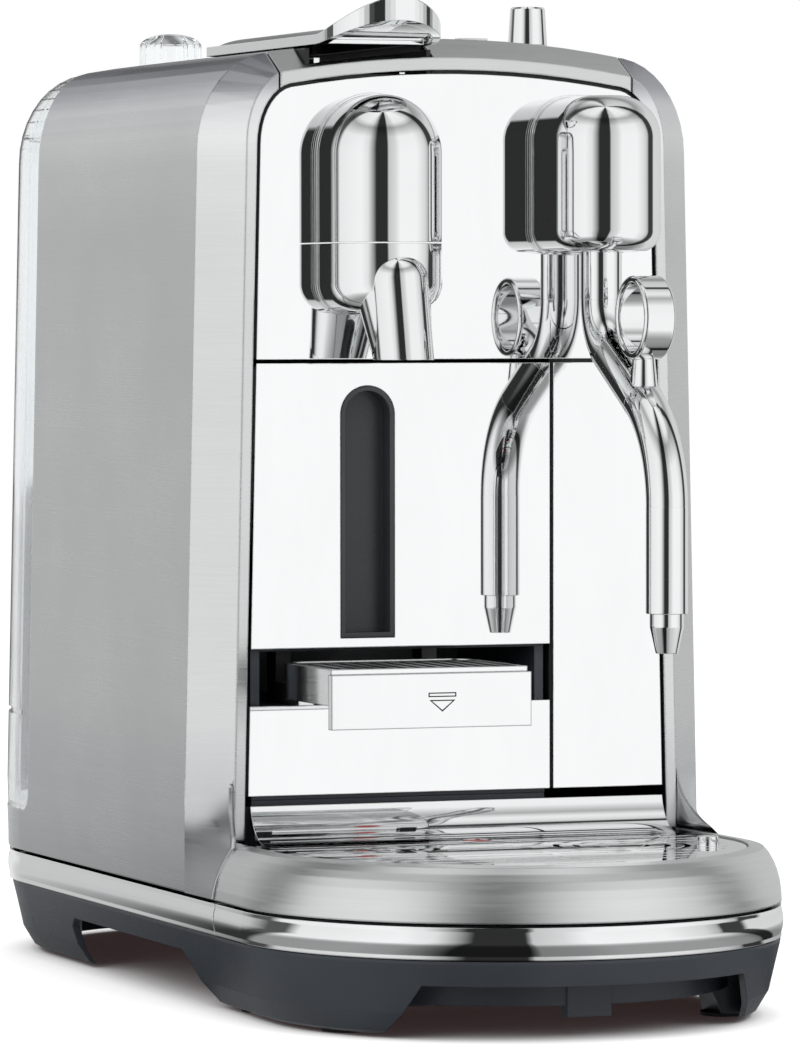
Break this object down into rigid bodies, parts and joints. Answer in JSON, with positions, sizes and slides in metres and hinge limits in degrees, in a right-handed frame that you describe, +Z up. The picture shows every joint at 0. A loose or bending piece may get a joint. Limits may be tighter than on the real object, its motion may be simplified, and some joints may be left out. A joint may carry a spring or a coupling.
{
  "type": "pod coffee machine",
  "caption": "Capsule coffee machine with mirror front, brushed steel sides, coffee and steam heads, swinging steam wand, lever on top, pull-out round drip tray and rear water tank.",
  "frame": {"origin": "centre of the footprint's bounding box at the level the machine stands on", "axes": "+X to the right seen from the front, the front faces -Y, +Z up"},
  "size_m": [0.17, 0.3932, 0.308],
  "materials": {
    "brushed_steel": "horizontally brushed stainless steel",
    "mirror_front": "polished to a mirror",
    "chrome": "polished chrome",
    "dark_plastic": "dark blue-grey moulded plastic",
    "black_plastic": "black moulded plastic",
    "light_plastic": "light grey moulded plastic",
    "clear_tank": "clear moulded tank",
    "display": "black display window",
    "rubber": "moulded rubber",
    "aluminium": "cast aluminium",
    "board": "circuit board laminate",
    "float_red": "red moulded plastic",
    "white_plastic": "white moulded plastic"
  },
  "bodies": {
    "machine": {"left_side_panel": "brushed_steel", "right_side_panel": "brushed_steel", "top_panel": "brushed_steel", "rear_cover": "dark_plastic", "mains_inlet": "black_plastic", "chassis": "black_plastic", "upper_front_panel": "mirror_front", "right_lower_panel": "mirror_front", "rear_base": "dark_plastic", "rear_band": "chrome", "rear_foot": "rubber", "tank_dock": "black_plastic", "coffee_head_upper": "chrome", "coffee_head_lower": "chrome", "spout": "chrome", "steam_head": "chrome", "lever_pin": "chrome", "lever_bezel": "black_plastic", "capsule_guide": "chrome", "brew_cage": "black_plastic", "display_window": "display", "pump": "black_plastic", "thermoblock": "aluminium", "steam_boiler": "aluminium", "flow_meter": "black_plastic", "control_board": "board"},
    "wand": {"wand_pivot": "chrome", "steam_wand": "chrome", "wand_ring": "chrome", "steam_tip": "chrome"},
    "lever": {"lever_shell": "chrome", "lever_inlay": "brushed_steel"},
    "piston": {"brew_piston": "black_plastic"},
    "dial": {"dial": "chrome"},
    "button": {"start_button": "white_plastic"},
    "tank": {"water_tank": "clear_tank", "tank_valve": "white_plastic"},
    "lid": {"tank_lid": "clear_tank", "lid_grip": "clear_tank"},
    "drawer": {"drawer_frame": "dark_plastic", "capsule_container": "dark_plastic", "capsule_panel": "mirror_front", "finger_slot": "dark_plastic", "lower_panel": "mirror_front", "tray_skirt": "chrome", "tray_band": "chrome", "tray_base": "dark_plastic", "tray_foot": "rubber", "drip_basin": "dark_plastic"},
    "cup_support": {"cup_support": "light_plastic", "cup_grid": "black_plastic"},
    "grid": {"drip_grid": "chrome"},
    "float": {"drip_float": "float_red"},
    "sensor": {"milk_sensor": "chrome"}
  },
  "joints": [
    {"name": "lever_lift", "type": "hinge", "parent": "machine", "child": "lever", "pos_m": [-0.0285, 0.0245, 0.2902], "axis": [-1, 0, 0], "range_deg": [0, 65]},
    {"name": "piston_slide", "type": "slide", "parent": "machine", "child": "piston", "axis": [0, 1, 0], "range_m": [0, 0.0121]},
    {"name": "dial_turn", "type": "hinge", "parent": "machine", "child": "dial", "pos_m": [0.035, -0.0435, 0.3], "axis": [0, 0, 1], "continuous": true},
    {"name": "button_press", "type": "slide", "parent": "machine", "child": "button", "axis": [0, 0, -1], "range_m": [0, 0.0012], "stiffness_N_per_m": 400},
    {"name": "wand_swing", "type": "hinge", "parent": "machine", "child": "wand", "pos_m": [0.041, -0.0898, 0.245], "axis": [-1, 0, 0], "range_deg": [0, 22]},
    {"name": "tank_tilt", "type": "hinge", "parent": "machine", "child": "tank", "pos_m": [0, 0.1965, 0.0486], "axis": [-1, 0, 0], "range_deg": [0, 14]},
    {"name": "lid_slide", "type": "slide", "parent": "tank", "child": "lid", "axis": [0, 1, 0], "range_m": [0, 0.06]},
    {"name": "drawer_slide", "type": "slide", "parent": "machine", "child": "drawer", "axis": [0, -1, 0], "range_m": [0, 0.17]},
    {"name": "support_slide", "type": "slide", "parent": "drawer", "child": "cup_support", "axis": [0, 1, 0], "range_m": [0, 0.044]},
    {"name": "grid_lift", "type": "slide", "parent": "drawer", "child": "grid", "axis": [0, 0, 1], "range_m": [0, 0.022]},
    {"name": "float_rise", "type": "slide", "parent": "drawer", "child": "float", "axis": [0, 0, 1], "range_m": [0, 0.006]},
    {"name": "sensor_press", "type": "slide", "parent": "drawer", "child": "sensor", "axis": [0, 0, -1], "range_m": [0, 0.0016], "stiffness_N_per_m": 300}
  ],
  "couplings": [
    {"joint": "piston_slide", "follows": "lever_lift", "m_per_rad": 0.010578}
  ]
}
